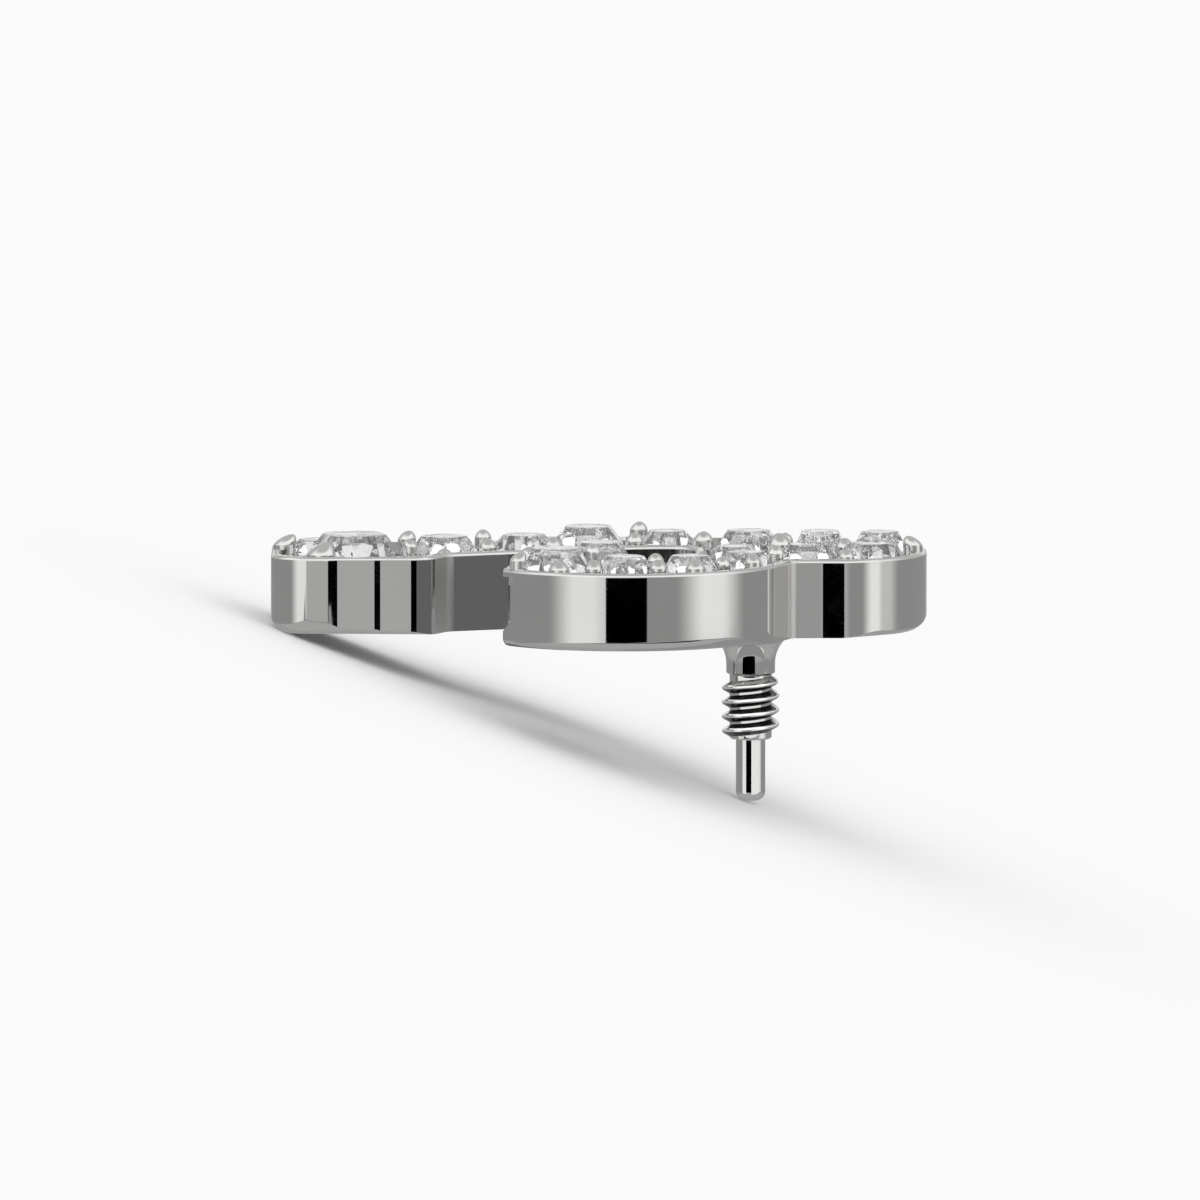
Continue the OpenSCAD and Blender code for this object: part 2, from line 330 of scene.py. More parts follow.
def turned(name, place, profile, vertices):
    """A shape turned on a lathe: rings of the profile's radii and heights, closed at both ends."""
    first_radius, first_height = profile[0]
    obj = add_object(
        bpy.ops.mesh.primitive_circle_add,
        name,
        vertices=vertices,
        radius=first_radius,
        location=(0, 0, first_height),
        fill_type="NGON",
    )
    bpy.ops.object.transform_apply()
    bpy.ops.object.mode_set(mode="EDIT")
    bpy.ops.mesh.select_all(action="SELECT")
    radius, height = profile[0]
    for next_radius, next_height in profile[1:]:
        bpy.ops.mesh.extrude_region_move(
            TRANSFORM_OT_translate={"value": (0, 0, next_height - height)}
        )
        ratio = next_radius / radius
        bpy.ops.transform.resize(
            value=(ratio, ratio, 1), center_override=(0, 0, next_height)
        )
        radius, height = next_radius, next_height
    bpy.ops.object.mode_set(mode="OBJECT")
    obj.data.transform(Matrix.Translation(place))
    face_outwards(obj)
    return obj


def stone_room(x, y, diameter, table, straight):
    """The room that a stone takes in the metal. A seat's wall goes straight up past the crown."""
    girdle = PLATE_HEIGHT - SINK_SHARE * diameter
    radius = diameter / 2 + SEAT_GAP
    low = girdle - GIRDLE_HEIGHT - SEAT_GAP
    high = girdle + SEAT_GAP
    profile = [(POLE_RADIUS, low - CONE_SHARE * diameter - SEAT_GAP), (radius, low)]
    if straight:
        profile += [(radius, BLANK_TOP)]
    else:
        crown = table + SINK_SHARE * diameter
        top_radius = diameter / 2 * TABLE_SHARE + SEAT_GAP
        shoulder_radius = diameter * SHOULDER_RADIUS + SEAT_GAP
        profile += [
            (radius, high),
            (shoulder_radius, high + crown * SHOULDER_HEIGHT),
            (top_radius, high + crown),
        ]
    return turned("room", (x, y, 0), profile, 64)


sunk = prism(
    "sunk", rounded(inset(OUTLINE, RIM_WIDTH)), PLATE_HEIGHT - FLOOR_DROP, BLANK_TOP
)
cut(metal, sunk, "DIFFERENCE")

along = GROOVE_ENDS[1] - GROOVE_ENDS[0]
inward = Vector((along.y, -along.x)).normalized()
lip_low, flank_low, lip_high = GROOVE_HEIGHTS
flank = (flank_low - lip_low) / GROOVE_DEPTH
section = [
    (-GROOVE_OVERSHOOT, lip_low - GROOVE_OVERSHOOT * flank),
    (GROOVE_DEPTH, flank_low),
    (GROOVE_DEPTH, lip_high),
    (-GROOVE_OVERSHOOT, lip_high),
]
groove = add_object(
    bpy.ops.mesh.primitive_circle_add, "groove", vertices=len(section), fill_type="NGON"
)
for vertex, (depth, height) in zip(groove.data.vertices, section):
    foot = GROOVE_ENDS[0] + inward * depth
    vertex.co = (foot.x, foot.y, height)
bpy.ops.object.mode_set(mode="EDIT")
bpy.ops.mesh.select_all(action="SELECT")
bpy.ops.mesh.extrude_region_move(TRANSFORM_OT_translate={"value": (along.x, along.y, 0)})
bpy.ops.object.mode_set(mode="OBJECT")
face_outwards(groove)
cut(metal, groove, "DIFFERENCE")

seats = join([stone_room(*stone, True) for stone in STONES], "seats")
cut(metal, seats, "DIFFERENCE", tool_overlaps=True)


# Claws
# Small claws stand between the stones. They are raised from the plate's own metal, and each has its top
# rounded over and pushed down onto the crowns beside it.
CLAW_ROOT = 0.25
CLAW_FOOT = 1.1
CLAW_TAPER = 0.22
WELD = 0.0001
# The claws: x, y, diameter, height above the rim, how far the top leans to the right and to the back
CLAWS = [
    (-4.93, 4.22, 0.34, 0.23, 0.12, 0.00),
    (-4.33, 3.07, 0.42, 0.22, 0.10, 0.06),
    (-2.94, 3.52, 0.24, 0.22, -0.04, 0.02),
    (-3.02, 4.72, 0.28, 0.24, 0.04, 0.00),
    (-3.80, 4.66, 0.26, 0.18, 0.00, 0.00),
    (-1.74, 4.22, 0.28, 0.16, 0.00, 0.02),
    (-1.82, 4.92, 0.26, 0.24, 0.00, 0.00),
    (-2.42, 3.66, 0.22, 0.06, 0.00, 0.00),
    (-0.72, 4.50, 0.26, 0.16, 0.00, 0.02),
    (0.56, 5.02, 0.28, 0.18, 0.00, 0.00),
    (0.62, 5.96, 0.28, 0.27, 0.02, -0.02),
    (1.64, 5.02, 0.30, 0.20, 0.00, 0.00),
    (2.84, 4.06, 0.36, 0.26, -0.02, 0.04),
    (2.92, 4.80, 0.24, 0.20, 0.00, 0.00),
    (3.84, 3.68, 0.28, 0.22, 0.00, 0.02),
    (4.92, 3.84, 0.30, 0.24, -0.08, 0.00),
    (3.86, 2.66, 0.24, 0.14, 0.00, 0.02),
    (2.76, 2.72, 0.28, 0.20, 0.00, 0.00),
    (-1.26, 0.92, 0.28, 0.26, 0.06, 0.04),
    (-0.62, 0.46, 0.30, 0.17, 0.00, 0.05),
    (-0.08, 0.44, 0.28, 0.18, 0.00, 0.04),
    (-0.10, 1.46, 0.28, 0.34, 0.00, 0.00),
    (0.92, 0.52, 0.28, 0.18, 0.00, 0.04),
    (0.88, 1.36, 0.26, 0.20, 0.00, 0.00),
    (1.50, 0.50, 0.30, 0.19, 0.00, 0.05),
    (1.92, 1.24, 0.26, 0.16, 0.00, 0.00),
    (2.40, 1.34, 0.26, 0.19, -0.02, 0.05),
    (-1.10, 1.78, 0.26, 0.26, 0.00, 0.00),
]


def claw(x, y, diameter, height, lean_right, lean_back):
    """A ball whose lower half is pulled down into the plate, drawn in and bent over towards its top."""
    radius = diameter / 2
    obj = add_object(
        bpy.ops.mesh.primitive_uv_sphere_add, "claw", segments=32, ring_count=16, radius=radius
    )
    for vertex in obj.data.vertices:
        if vertex.co.z < -HAIR:
            vertex.co.z = -CLAW_ROOT - height + radius
        up = max(0, (vertex.co.z + height - radius) / height)
        width = CLAW_FOOT - CLAW_TAPER * up
        vertex.co.x = x + vertex.co.x * width + lean_right * up ** 2
        vertex.co.y = y + vertex.co.y * width + lean_back * up ** 2
        vertex.co.z += PLATE_HEIGHT + height - radius
    bpy.ops.object.mode_set(mode="EDIT")
    bpy.ops.mesh.select_all(action="SELECT")
    bpy.ops.mesh.remove_doubles(threshold=WELD)
    bpy.ops.object.mode_set(mode="OBJECT")
    return obj


claws = []
for row in CLAWS:
    made = claw(*row)
    for stone in STONES:
        if math.dist(row[:2], stone[:2]) < stone[2] / 2 + row[2]:
            cut(made, stone_room(*stone, False), "DIFFERENCE")
    claws.append(made)


# Post
# The post is turned from round bar: a flare that meets the underside, a plain shank, the core of the
# thread and the guide pin with its rounded tip. It is soldered to the plate.
SHANK_RADIUS = 0.3825
SHANK_LENGTH = 0.62
FLARE_RADIUS = 0.45
FLARE_HEIGHT = 0.50
FLARE_SHOWN = 0.96
FLARE_TURN = math.radians(74)
FLARE_STEPS = 20
POST_TOP = 0.1
CORE_RADIUS = 0.33
CORE_LENGTH = 1.04
SHOULDER = 0.03
PIN_RADIUS = 0.23
PIN_LENGTH = 0.97
PIN_NECK = 0.02
TIP_ROUND = 0.15
TIP_STEPS = 12
# The shank's lower edge is broken, by this much inwards and upwards
BROKEN_EDGE = (0.006, 0.008)

core_end = -SHANK_LENGTH - CORE_LENGTH
tip = core_end - PIN_LENGTH
post_profile = [(POLE_RADIUS, tip)]
for k in range(TIP_STEPS + 1):
    a = math.pi / 2 * k / TIP_STEPS
    post_profile.append(
        (PIN_RADIUS - TIP_ROUND + TIP_ROUND * math.sin(a), tip + TIP_ROUND - TIP_ROUND * math.cos(a))
    )
post_profile += [
    (PIN_RADIUS, core_end - PIN_NECK),
    (PIN_RADIUS, core_end),
    (CORE_RADIUS - SHOULDER, core_end + HAIR),
    (CORE_RADIUS, core_end + SHOULDER),
    (CORE_RADIUS, -SHANK_LENGTH - SHOULDER),
    (SHANK_RADIUS - BROKEN_EDGE[0], -SHANK_LENGTH),
    (SHANK_RADIUS, -SHANK_LENGTH + BROKEN_EDGE[1]),
]
for k in range(FLARE_STEPS + 1):
    a = FLARE_TURN * k / FLARE_STEPS
    flare_height = FLARE_HEIGHT * (math.sin(a) - FLARE_SHOWN)
    post_profile.append((SHANK_RADIUS + FLARE_RADIUS * (1 - math.cos(a)), flare_height))
post_profile.append((post_profile[-1][0], POST_TOP))
post = turned("post", (POST_X, POST_Y, 0), post_profile, 96)


# Thread
# One right-hand ridge wound round the core, with a rounded crest. It fades into the core at both ends,
# where the cutting tool ran out. Its metal is painted brighter as a painted highlight, so that the
# crests read white, and its root and the lower flank under each crest are painted near black as painted
# shade.
THREAD_RADIUS = 0.45
PITCH = 0.225
TURNS = 3.9
THREAD_START = math.radians(120)
THREAD_LOW = 0.09
STEPS_A_TURN = 72
CREST_ROUND = 0.045
ROOT_SINK = 0.03
FADE_IN = 1 / 5
FADE_OUT = 1 / 3
FADE_REST = 0.03
FLANK = math.radians(30)
CREST_TURN = math.radians(60)
CREST_STEPS = 4
# Painted shade: the lower flank is painted dark from this far below the middle of the ridge
PAINTED_SHADE_EDGE = 0.02
CREST_CLEAR = 0.01


def ridge_section(height):
    """The ridge's section for a height over the core: radius and height above the middle."""
    root = CORE_RADIUS - ROOT_SINK
    round_size = min(CREST_ROUND, height / 2)
    crest = CORE_RADIUS + height
    centre = crest - round_size
    flank_half = round_size * math.cos(FLANK)
    touch = centre + round_size * math.sin(FLANK)
    base_half = flank_half + (touch - root) * math.tan(FLANK)
    half = [(root, base_half)]
    for k in range(CREST_STEPS + 1):
        a = CREST_TURN * (1 - k / CREST_STEPS)
        half.append((centre + round_size * math.cos(a), round_size * math.sin(a)))
    return [(r, -z) for r, z in half] + [(r, z) for r, z in reversed(half[:-1])]


ridge_steps = round(TURNS * STEPS_A_TURN)
corners = len(ridge_section(0.1))
thread = add_object(
    bpy.ops.mesh.primitive_grid_add,
    "thread",
    x_subdivisions=corners,
    y_subdivisions=ridge_steps,
)
rows = ridge_steps + 1
for i in range(rows):
    done = i / STEPS_A_TURN
    left = (ridge_steps - i) / STEPS_A_TURN
    rise = min(1, (done + FADE_REST) / FADE_IN, (left + FADE_REST) / FADE_OUT)
    angle = THREAD_START + 2 * math.pi * done
    height = core_end + THREAD_LOW + PITCH * done
    section = ridge_section((THREAD_RADIUS - CORE_RADIUS) * rise)
    for k in range(corners + 1):
        r, z = section[k % corners]
        thread.data.vertices[i * (corners + 1) + k].co = (
            POST_X + r * math.cos(angle),
            POST_Y + r * math.sin(angle),
            height + z,
        )
bpy.ops.object.mode_set(mode="EDIT")
bpy.ops.mesh.select_all(action="SELECT")
bpy.ops.mesh.remove_doubles(threshold=WELD)
choose_edges(thread, lambda edge: edge.is_boundary)
bpy.ops.mesh.edge_face_add()
bpy.ops.object.mode_set(mode="OBJECT")
face_outwards(thread)
# Painted shade: the core and the lower flank under each crest, away from the crest itself, are marked
# for a near black colour
painted_shade = thread.data.attributes.new("painted_shade", "FLOAT", "POINT")
# Painted highlight: the whole thread is marked for a brighter metal colour, so that its crests read
# white
painted_sheen = thread.data.attributes.new("painted_sheen", "FLOAT", "POINT")
for vertex, dark, bright in zip(thread.data.vertices, painted_shade.data, painted_sheen.data):
    from_axis = math.hypot(vertex.co.x - POST_X, vertex.co.y - POST_Y)
    turned_by = math.atan2(vertex.co.y - POST_Y, vertex.co.x - POST_X) - THREAD_START
    along = vertex.co.z - core_end - THREAD_LOW - PITCH * turned_by / (2 * math.pi)
    over_middle = (along / PITCH + 0.5) % 1 - 0.5
    low_down = min(1, max(0, -over_middle * PITCH / PAINTED_SHADE_EDGE))
    off_crest = min(1, (THREAD_RADIUS - from_axis) / CREST_CLEAR)
    dark.value = 1 if from_axis < CORE_RADIUS else low_down * off_crest
    bright.value = 1


# The finished metal
# Plate, claws and post are one piece of metal once they are soldered. It is polished on a wheel, which
# doesn't reach the inside corners: they stay satin.
METAL_COLOUR = (0.71, 0.705, 0.695, 1)
METAL_COLOUR_DULL = (0.67, 0.665, 0.655, 1)
# Painted shade: the near black of the thread's root and lower flanks
PAINTED_SHADE_COLOUR = (0.02, 0.019, 0.018, 1)
# Painted highlight: a brighter metal for the whole thread, so that its crests read white
PAINTED_SHEEN_COLOUR = (0.97, 0.965, 0.955, 1)
# The inside corners: x, y and how far the wheel stays away
INSIDE_CORNERS = [(3.026, 2.363, 0.069), (-2.35, 3.45, 0.097), (-2.50, 3.17, 0.12)]
SATIN_ROUGHNESS = 0.40
SMOOTH_UNDER = math.radians(32)
# The upright edge at the left end of the head's front stays crisp
HEAD_FRONT = 2.80
HEAD_EDGE_RIGHT = -4.2
NEAR_EDGE = 0.002


def new_material(name):
    material = bpy.data.materials.new(name)
    material.use_nodes = True
    shader = material.node_tree.nodes["Principled BSDF"]
    return material, material.node_tree, shader


def pattern(tree, scale, detail):
    """Noise on the object's own coordinates, in metres."""
    place = tree.nodes.new("ShaderNodeTexCoord")
    noise = tree.nodes.new("ShaderNodeTexNoise")
    noise.inputs["Scale"].default_value = scale
    noise.inputs["Detail"].default_value = detail
    tree.links.new(place.outputs["Object"], noise.inputs["Vector"])
    return noise.outputs["Fac"]


satin = metal.data.attributes.new("satin", "FLOAT", "POINT")
for vertex, dull in zip(metal.data.vertices, satin.data):
    for x, y, reach in INSIDE_CORNERS:
        from_corner = math.hypot(vertex.co.x - x, vertex.co.y - y)
        if from_corner < reach:
            dull.value = 1
metal = join([metal, *claws, post, thread], "setting_metal")
bpy.ops.object.select_all(action="DESELECT")
metal.select_set(True)
bpy.context.view_layer.objects.active = metal
bpy.ops.object.shade_smooth_by_angle(angle=SMOOTH_UNDER)
for edge in metal.data.edges:
    ends = [metal.data.vertices[i].co for i in edge.vertices]
    if all(abs(end.y - HEAD_FRONT) < NEAR_EDGE and end.x < HEAD_EDGE_RIGHT for end in ends):
        edge.use_edge_sharp = True
weights = metal.modifiers.new("weights", "WEIGHTED_NORMAL")
weights.keep_sharp = True
bpy.ops.object.modifier_apply(modifier=weights.name)

metal.data.transform(laid_down)


def fine_polish():
    """What a polishing wheel leaves: smears, faint lines along the work and a slightly uneven skin."""
    group = bpy.data.node_groups.new("fine_polish", "ShaderNodeTree")
    for name, value in (("Smear Scale", 2500), ("Lowest", 0.02), ("Highest", 0.08)):
        socket = group.interface.new_socket(name, in_out="INPUT", socket_type="NodeSocketFloat")
        socket.default_value = value
    for name in ("Roughness", "Skin"):
        group.interface.new_socket(name, in_out="OUTPUT", socket_type="NodeSocketFloat")
    inside = group.nodes.new("NodeGroupInput")
    outside = group.nodes.new("NodeGroupOutput")
    place = group.nodes.new("ShaderNodeTexCoord")
    smears = group.nodes.new("ShaderNodeTexNoise")
    smears.inputs["Detail"].default_value = 4
    group.links.new(place.outputs["Object"], smears.inputs["Vector"])
    group.links.new(inside.outputs["Smear Scale"], smears.inputs["Scale"])
    drawn_out = group.nodes.new("ShaderNodeMapping")
    drawn_out.inputs["Scale"].default_value = (0.12, 0.12, 1)
    group.links.new(place.outputs["Object"], drawn_out.inputs["Vector"])
    lines = group.nodes.new("ShaderNodeTexNoise")
    lines.inputs["Scale"].default_value = 42000
    lines.inputs["Detail"].default_value = 2
    group.links.new(drawn_out.outputs["Vector"], lines.inputs["Vector"])
    both = group.nodes.new("ShaderNodeMix")
    both.inputs["Factor"].default_value = 0.35
    group.links.new(smears.outputs["Fac"], both.inputs["A"])
    group.links.new(lines.outputs["Fac"], both.inputs["B"])
    shine = group.nodes.new("ShaderNodeMapRange")
    shine.inputs["From Min"].default_value = 0.3
    shine.inputs["From Max"].default_value = 0.7
    group.links.new(both.outputs["Result"], shine.inputs["Value"])
    group.links.new(inside.outputs["Lowest"], shine.inputs["To Min"])
    group.links.new(inside.outputs["Highest"], shine.inputs["To Max"])
    group.links.new(shine.outputs["Result"], outside.inputs["Roughness"])
    waves = group.nodes.new("ShaderNodeTexNoise")
    waves.inputs["Scale"].default_value = 900
    waves.inputs["Detail"].default_value = 1
    group.links.new(place.outputs["Object"], waves.inputs["Vector"])
    group.links.new(waves.outputs["Fac"], outside.inputs["Skin"])
    return group


def polish(tree, shader, smear_scale, lowest, highest, skin_depth):
    """Gives a material the polish, with its own values."""
    worn = tree.nodes.new("ShaderNodeGroup")
    worn.node_tree = polish_group
    worn.inputs["Smear Scale"].default_value = smear_scale
    worn.inputs["Lowest"].default_value = lowest
    worn.inputs["Highest"].default_value = highest
    skin = tree.nodes.new("ShaderNodeBump")
    skin.inputs["Strength"].default_value = 1
    skin.inputs["Distance"].default_value = skin_depth
    tree.links.new(worn.outputs["Skin"], skin.inputs["Height"])
    tree.links.new(skin.outputs["Normal"], shader.inputs["Normal"])
    tree.links.new(worn.outputs["Roughness"], shader.inputs["Roughness"])


polish_group = fine_polish()
polished, tree, shader = new_material("polished_metal")
shader.inputs["Metallic"].default_value = 1
tint = tree.nodes.new("ShaderNodeMix")
tint.data_type = "RGBA"
tint.inputs["A"].default_value = METAL_COLOUR
tint.inputs["B"].default_value = METAL_COLOUR_DULL
tree.links.new(pattern(tree, scale=1500, detail=3), tint.inputs["Factor"])
colour = tint.outputs["Result"]
# The thread gets its painted highlight, and then its painted shade in the root and under the crests
for name, second in (("painted_sheen", PAINTED_SHEEN_COLOUR), ("painted_shade", PAINTED_SHADE_COLOUR)):
    mask = tree.nodes.new("ShaderNodeAttribute")
    mask.attribute_name = name
    marked = tree.nodes.new("ShaderNodeMix")
    marked.data_type = "RGBA"
    marked.inputs["B"].default_value = second
    tree.links.new(mask.outputs["Fac"], marked.inputs["Factor"])
    tree.links.new(colour, marked.inputs["A"])
    colour = marked.outputs["Result"]
tree.links.new(colour, shader.inputs["Base Color"])
polish(tree, shader, smear_scale=2500, lowest=0.03, highest=0.07, skin_depth=0.0000008)
satin_mask = tree.nodes.new("ShaderNodeAttribute")
satin_mask.attribute_name = "satin"
duller = tree.nodes.new("ShaderNodeMath")
duller.operation = "MULTIPLY"
duller.inputs[1].default_value = SATIN_ROUGHNESS
tree.links.new(satin_mask.outputs["Fac"], duller.inputs[0])
dullest = tree.nodes.new("ShaderNodeMath")
dullest.operation = "MAXIMUM"
tree.links.new(shader.inputs["Roughness"].links[0].from_socket, dullest.inputs[0])
tree.links.new(duller.outputs[0], dullest.inputs[1])
tree.links.new(dullest.outputs[0], shader.inputs["Roughness"])
metal.data.materials.clear()
metal.data.materials.append(polished)
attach(metal, "root")
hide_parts("setting")


# Stones
# Clear round brilliants. Each is ground on a flat lap, with a table, main facets, a ring of small facets
# at the girdle and a pointed underside, and is then pressed into its seat. The edges between the facets
# are a little soft. One stone of diameter 1 is ground, and the others are copied from it.
FACETS_ROUND = 8
MODEL_RADIUS = 0.5
MODEL_BOTTOM = -0.5
MODEL_CROWN = 0.22
STAR_SLOPE = 0.45
FACET_EDGE = 0.012
FACET_ANGLE = math.radians(7)
GEM_SMOOTH_UNDER = math.radians(40)
GEM_WELD = 0.0005
STONE_TURN_DEG = 17
STONE_IOR = 2.2
STONE_CLEARNESS = 0.95
STONE_COLOUR = (1, 1, 1, 1)
STONE_COLOUR_BLUISH = (0.97, 0.98, 0.99, 1)


def grind(bearing_deg, radius, height, slope):
    """Cuts away what stands outside a plane through a point, as a lap does. A slope is rise over run."""
    a = math.radians(bearing_deg)
    bpy.ops.mesh.select_all(action="SELECT")
    bpy.ops.mesh.bisect(
        plane_co=(radius * math.cos(a), radius * math.sin(a), height),
        plane_no=(slope * math.cos(a), slope * math.sin(a), math.copysign(1, height)),
        use_fill=True,
        clear_outer=True,
    )


rough_stone = [(MODEL_RADIUS, MODEL_BOTTOM), (MODEL_RADIUS, MODEL_CROWN)]
model = turned("model_stone", (0, 0, 0), rough_stone, 64)
bpy.ops.object.mode_set(mode="EDIT")
facet_step = 360 / FACETS_ROUND
shoulder = MODEL_CROWN * SHOULDER_HEIGHT
main_slope = shoulder / (MODEL_RADIUS - SHOULDER_RADIUS)
top_slope = (MODEL_CROWN - shoulder) / (SHOULDER_RADIUS - TABLE_SHARE / 2)
for k in range(FACETS_ROUND):
    grind(facet_step * k, MODEL_RADIUS, HAIR, main_slope)
    grind(facet_step * (k + 0.5), MODEL_RADIUS, HAIR, main_slope)
    grind(facet_step * k, SHOULDER_RADIUS, shoulder, top_slope)
    grind(facet_step * (k + 0.5), TABLE_SHARE / 2, MODEL_CROWN, STAR_SLOPE)
    grind(facet_step * k, MODEL_RADIUS, -GIRDLE_HEIGHT, CONE_SHARE / MODEL_RADIUS)
bpy.ops.mesh.remove_doubles(threshold=GEM_WELD)
bpy.ops.object.mode_set(mode="OBJECT")
face_outwards(model)
choose_edges(model, lambda edge: edge.calc_face_angle(0) > FACET_ANGLE)
bpy.ops.mesh.bevel(offset=FACET_EDGE, segments=2, affect="EDGES", clamp_overlap=True)
bpy.ops.object.mode_set(mode="OBJECT")

cut_stone, tree, shader = new_material("cut_stone")
shader.inputs["IOR"].default_value = STONE_IOR
shader.inputs["Transmission Weight"].default_value = STONE_CLEARNESS
tint = tree.nodes.new("ShaderNodeMix")
tint.data_type = "RGBA"
tint.inputs["A"].default_value = STONE_COLOUR
tint.inputs["B"].default_value = STONE_COLOUR_BLUISH
tree.links.new(pattern(tree, scale=1200, detail=2), tint.inputs["Factor"])
tree.links.new(tint.outputs["Result"], shader.inputs["Base Color"])
polish(tree, shader, smear_scale=3000, lowest=0.0, highest=0.02, skin_depth=0.00000003)

for number, (x, y, diameter, table) in enumerate(STONES, 1):
    gem = model.copy()
    gem.data = model.data.copy()
    gem.name = gem.data.name = f"cut_stone_{number:02d}"
    bpy.context.scene.collection.objects.link(gem)
    sunk_by = SINK_SHARE * diameter
    crown_stretch = (table + sunk_by) / (MODEL_CROWN * diameter)
    for vertex in gem.data.vertices:
        if vertex.co.z > 0:
            vertex.co.z *= crown_stretch
    gem.data.transform(
        Matrix.Translation((x, y, PLATE_HEIGHT - sunk_by))
        @ Matrix.Rotation(math.radians(STONE_TURN_DEG * number), 4, "Z")
        @ Matrix.Scale(diameter, 4)
    )
    bpy.ops.object.select_all(action="DESELECT")
    gem.select_set(True)
    bpy.context.view_layer.objects.active = gem
    bpy.ops.object.shade_smooth_by_angle(angle=GEM_SMOOTH_UNDER)
    weights = gem.modifiers.new("weights", "WEIGHTED_NORMAL")
    weights.keep_sharp = True
    bpy.ops.object.modifier_apply(modifier=weights.name)
    gem.data.transform(laid_down)
    gem.data.materials.append(cut_stone)
    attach(gem, "root")
    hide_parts(f"stone_{number:02d}")
bpy.data.objects.remove(model)


# Floor and light
# A pale floor, and a pale studio all round with a soft box on either side. Cards in front of the piece,
# seen only in its polish, give the walls and the post their dark and pale stripes.
FLOOR_SIZE = 6
FLOOR_COLOUR = (0.86, 0.86, 0.86, 1)

floor = add_object(bpy.ops.mesh.primitive_plane_add, "floor", size=FLOOR_SIZE)
floor_paint, tree, shader = new_material("pale_floor")
shader.inputs["Base Color"].default_value = FLOOR_COLOUR
shader.inputs["Roughness"].default_value = 1
shader.inputs["Specular IOR Level"].default_value = 0
floor.data.materials.append(floor_paint)
floor.visible_glossy = False


def card(
    name, left, right, low, high, away, shade, right_away=None, top_away=None, outer_shade=None
):
    """A sheet of paper in front of the plate, seen only in the polish. The side that faces away from
    the piece may have a shade of its own."""
    sheet = add_object(bpy.ops.mesh.primitive_plane_add, name, size=1)
    corners = [
        (left, away, low),
        (right, right_away or away, low),
        (left, top_away or away, high),
        (right, right_away or top_away or away, high),
    ]
    for vertex, (x, y, z) in zip(sheet.data.vertices, corners):
        vertex.co = laid_down @ Vector((x, -y, z))
    paper, tree, shader = new_material(name)
    shader.inputs["Base Color"].default_value = (0, 0, 0, 1)
    shader.inputs["Roughness"].default_value = 1
    shader.inputs["Specular IOR Level"].default_value = 0
    shader.inputs["Emission Color"].default_value = (1, 1, 1, 1)
    side = tree.nodes.new("ShaderNodeNewGeometry")
    shades = tree.nodes.new("ShaderNodeMix")
    shades.inputs["A"].default_value = shade if outer_shade is None else outer_shade
    shades.inputs["B"].default_value = shade
    tree.links.new(side.outputs["Backfacing"], shades.inputs["Factor"])
    tree.links.new(shades.outputs["Result"], shader.inputs["Emission Strength"])
    sheet.data.materials.append(paper)
    sheet.visible_camera = False
    sheet.visible_diffuse = False
    sheet.visible_shadow = False
    sheet.visible_transmission = False


# The black stripes: one card for the walls, and a strip for the shank and the pin
card("dark_card", -2.65, 3.43, -1.9, 0.5, 11, 0.0)
card("dark_strip", -0.90, 3.90, -3.4, -0.67, 1.0, 0.0)
# The grey of the shank and the flare, and of the wall that looks into the gap between the arms
card("grey_card_shank", -8.0, 5.4, -1.55, -0.60, 1.02, 0.36)
card("grey_card_side", 5.40, 5.60, -1.55, -0.60, 1.02, 0.36, right_away=-3.2)
card("grey_card_gap", -2.55, -0.60, -1.2, 1.17, -2.20, 0.16, right_away=-3.066)
# The bright thread, and the pin's two bright sides with a gap between them for the dark strip
card("pale_card_thread", 0.40, 4.30, -1.80, -0.70, -1.20, 1.1, top_away=-2.70, outer_shade=0.36)
card("pale_card_left", 0.40, 1.74, -3.10, -1.73, -2.27, 1.1, outer_shade=0.45)
card("pale_card_right", 2.46, 4.30, -3.10, -1.73, -2.27, 1.1, outer_shade=0.45)

world = bpy.data.worlds.new("studio")
bpy.context.scene.world = world
world.use_nodes = True
tree = world.node_tree
background = tree.nodes["Background"]
background.inputs["Color"].default_value = (1, 1, 1, 1)


def math_node(operation, a, b=None):
    node = tree.nodes.new("ShaderNodeMath")
    node.operation = operation
    for socket, value in zip(node.inputs, (a, b)):
        if isinstance(value, (int, float)):
            socket.default_value = value
        elif value is not None:
            tree.links.new(value, socket)
    return node.outputs[0]


def soft_step(value, start, end):
    node = tree.nodes.new("ShaderNodeMapRange")
    node.interpolation_type = "SMOOTHSTEP"
    node.inputs["From Min"].default_value = start
    node.inputs["From Max"].default_value = end
    tree.links.new(value, node.inputs["Value"])
    return node.outputs["Result"]


def mixed(share, a, b):
    """From a to b as the share goes from 0 to 1."""
    node = tree.nodes.new("ShaderNodeMix")
    tree.links.new(share, node.inputs["Factor"])
    for socket, value in ((node.inputs["A"], a), (node.inputs["B"], b)):
        if isinstance(value, (int, float)):
            socket.default_value = value
        else:
            tree.links.new(value, socket)
    return node.outputs["Result"]


studio_place = tree.nodes.new("ShaderNodeTexCoord")
studio_turn = tree.nodes.new("ShaderNodeMapping")
studio_turn.inputs["Rotation"].default_value = (0, lean, 0)
tree.links.new(studio_place.outputs["Generated"], studio_turn.inputs["Vector"])
studio_axes = tree.nodes.new("ShaderNodeSeparateXYZ")
tree.links.new(studio_turn.outputs["Vector"], studio_axes.inputs["Vector"])
east, north, up = studio_axes.outputs
towards_camera = math_node("MULTIPLY", north, -1)
bearing = math_node("ARCTAN2", east, towards_camera)


def soft_box(bearing_deg, half_width_deg, edge_deg, strength):
    """A tall soft box at a bearing to the right of the camera."""
    away = math_node("ABSOLUTE", math_node("SUBTRACT", bearing, math.radians(bearing_deg)))
    lit = soft_step(away, math.radians(half_width_deg + edge_deg), math.radians(half_width_deg))
    return math_node("MULTIPLY", lit, strength)


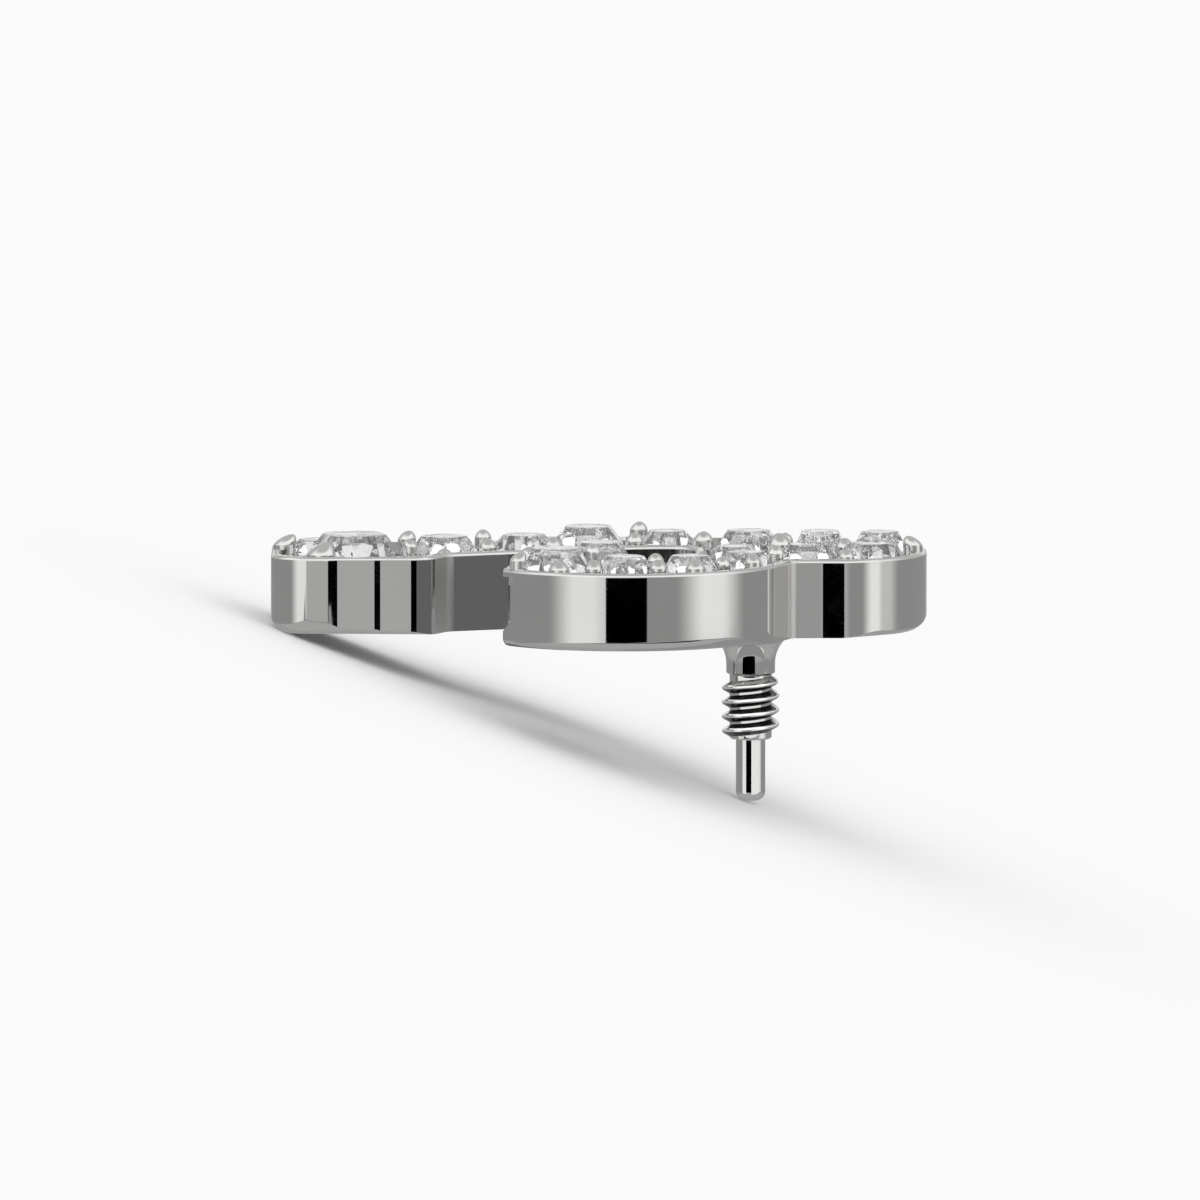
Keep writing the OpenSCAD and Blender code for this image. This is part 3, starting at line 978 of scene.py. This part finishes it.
# What each part of the studio gives, all round and from below, and to the stones and the floor
SIDE_LIGHT = 0.34
BACK_LIGHT = 0.80
BACK_LIGHT_LOW = 0.45
FRONT_HIGH_LIGHT = 1.22
BACK_HIGH_LIGHT = 0.60
BELOW_LIGHT = 0.50
BELOW_BACK_LIGHT = 0.42
STONE_LIGHT = 1.35
FLOOR_LIGHT = 1.15
STONE_SHARE = 0.9

left_box = soft_box(bearing_deg=-32, half_width_deg=6, edge_deg=26, strength=0.68)
right_box = soft_box(bearing_deg=66, half_width_deg=6, edge_deg=26, strength=0.72)
middle_box = soft_box(bearing_deg=-4, half_width_deg=4, edge_deg=12, strength=0.18)
# North and up go from -1 to 1. Each pair of numbers is where a change starts and where it ends.
boxes = math_node("ADD", math_node("ADD", left_box, right_box), middle_box)
boxes = math_node("MULTIPLY", boxes, soft_step(up, -0.22, -0.11))
sides = math_node("ADD", boxes, SIDE_LIGHT)
sides = mixed(soft_step(north, 0.9, 1.0), sides, BACK_LIGHT_LOW)
down = math_node("MULTIPLY", up, -1)
below = mixed(soft_step(north, 0.25, 0.75), BELOW_LIGHT, BELOW_BACK_LIGHT)
lower_half = mixed(soft_step(down, 0.12, 0.45), sides, below)
overhead = math_node("MAXIMUM", soft_step(north, -0.2, 0.5), soft_step(up, 0.72, 0.95))
high = mixed(overhead, FRONT_HIGH_LIGHT, BACK_HIGH_LIGHT)
back = mixed(soft_step(north, 0.8, 0.95), high, BACK_LIGHT)
upper_half = mixed(soft_step(up, 0.25, 0.5), back, high)
horizon = mixed(soft_step(north, -0.5, 0.5), soft_step(up, 0.02, 0.40), soft_step(up, 0.0, 0.06))
studio = mixed(horizon, lower_half, upper_half)
rays = tree.nodes.new("ShaderNodeLightPath")
through_stone = math_node("MULTIPLY", rays.outputs["Is Transmission Ray"], STONE_SHARE)
studio = mixed(through_stone, studio, STONE_LIGHT)
studio = mixed(rays.outputs["Is Diffuse Ray"], studio, FLOOR_LIGHT)
tree.links.new(studio, background.inputs["Strength"])

bpy.context.scene.view_settings.view_transform = "Standard"
bpy.context.scene.cycles.max_bounces = 20
bpy.context.scene.cycles.glossy_bounces = 10
bpy.context.scene.cycles.transmission_bounces = 16
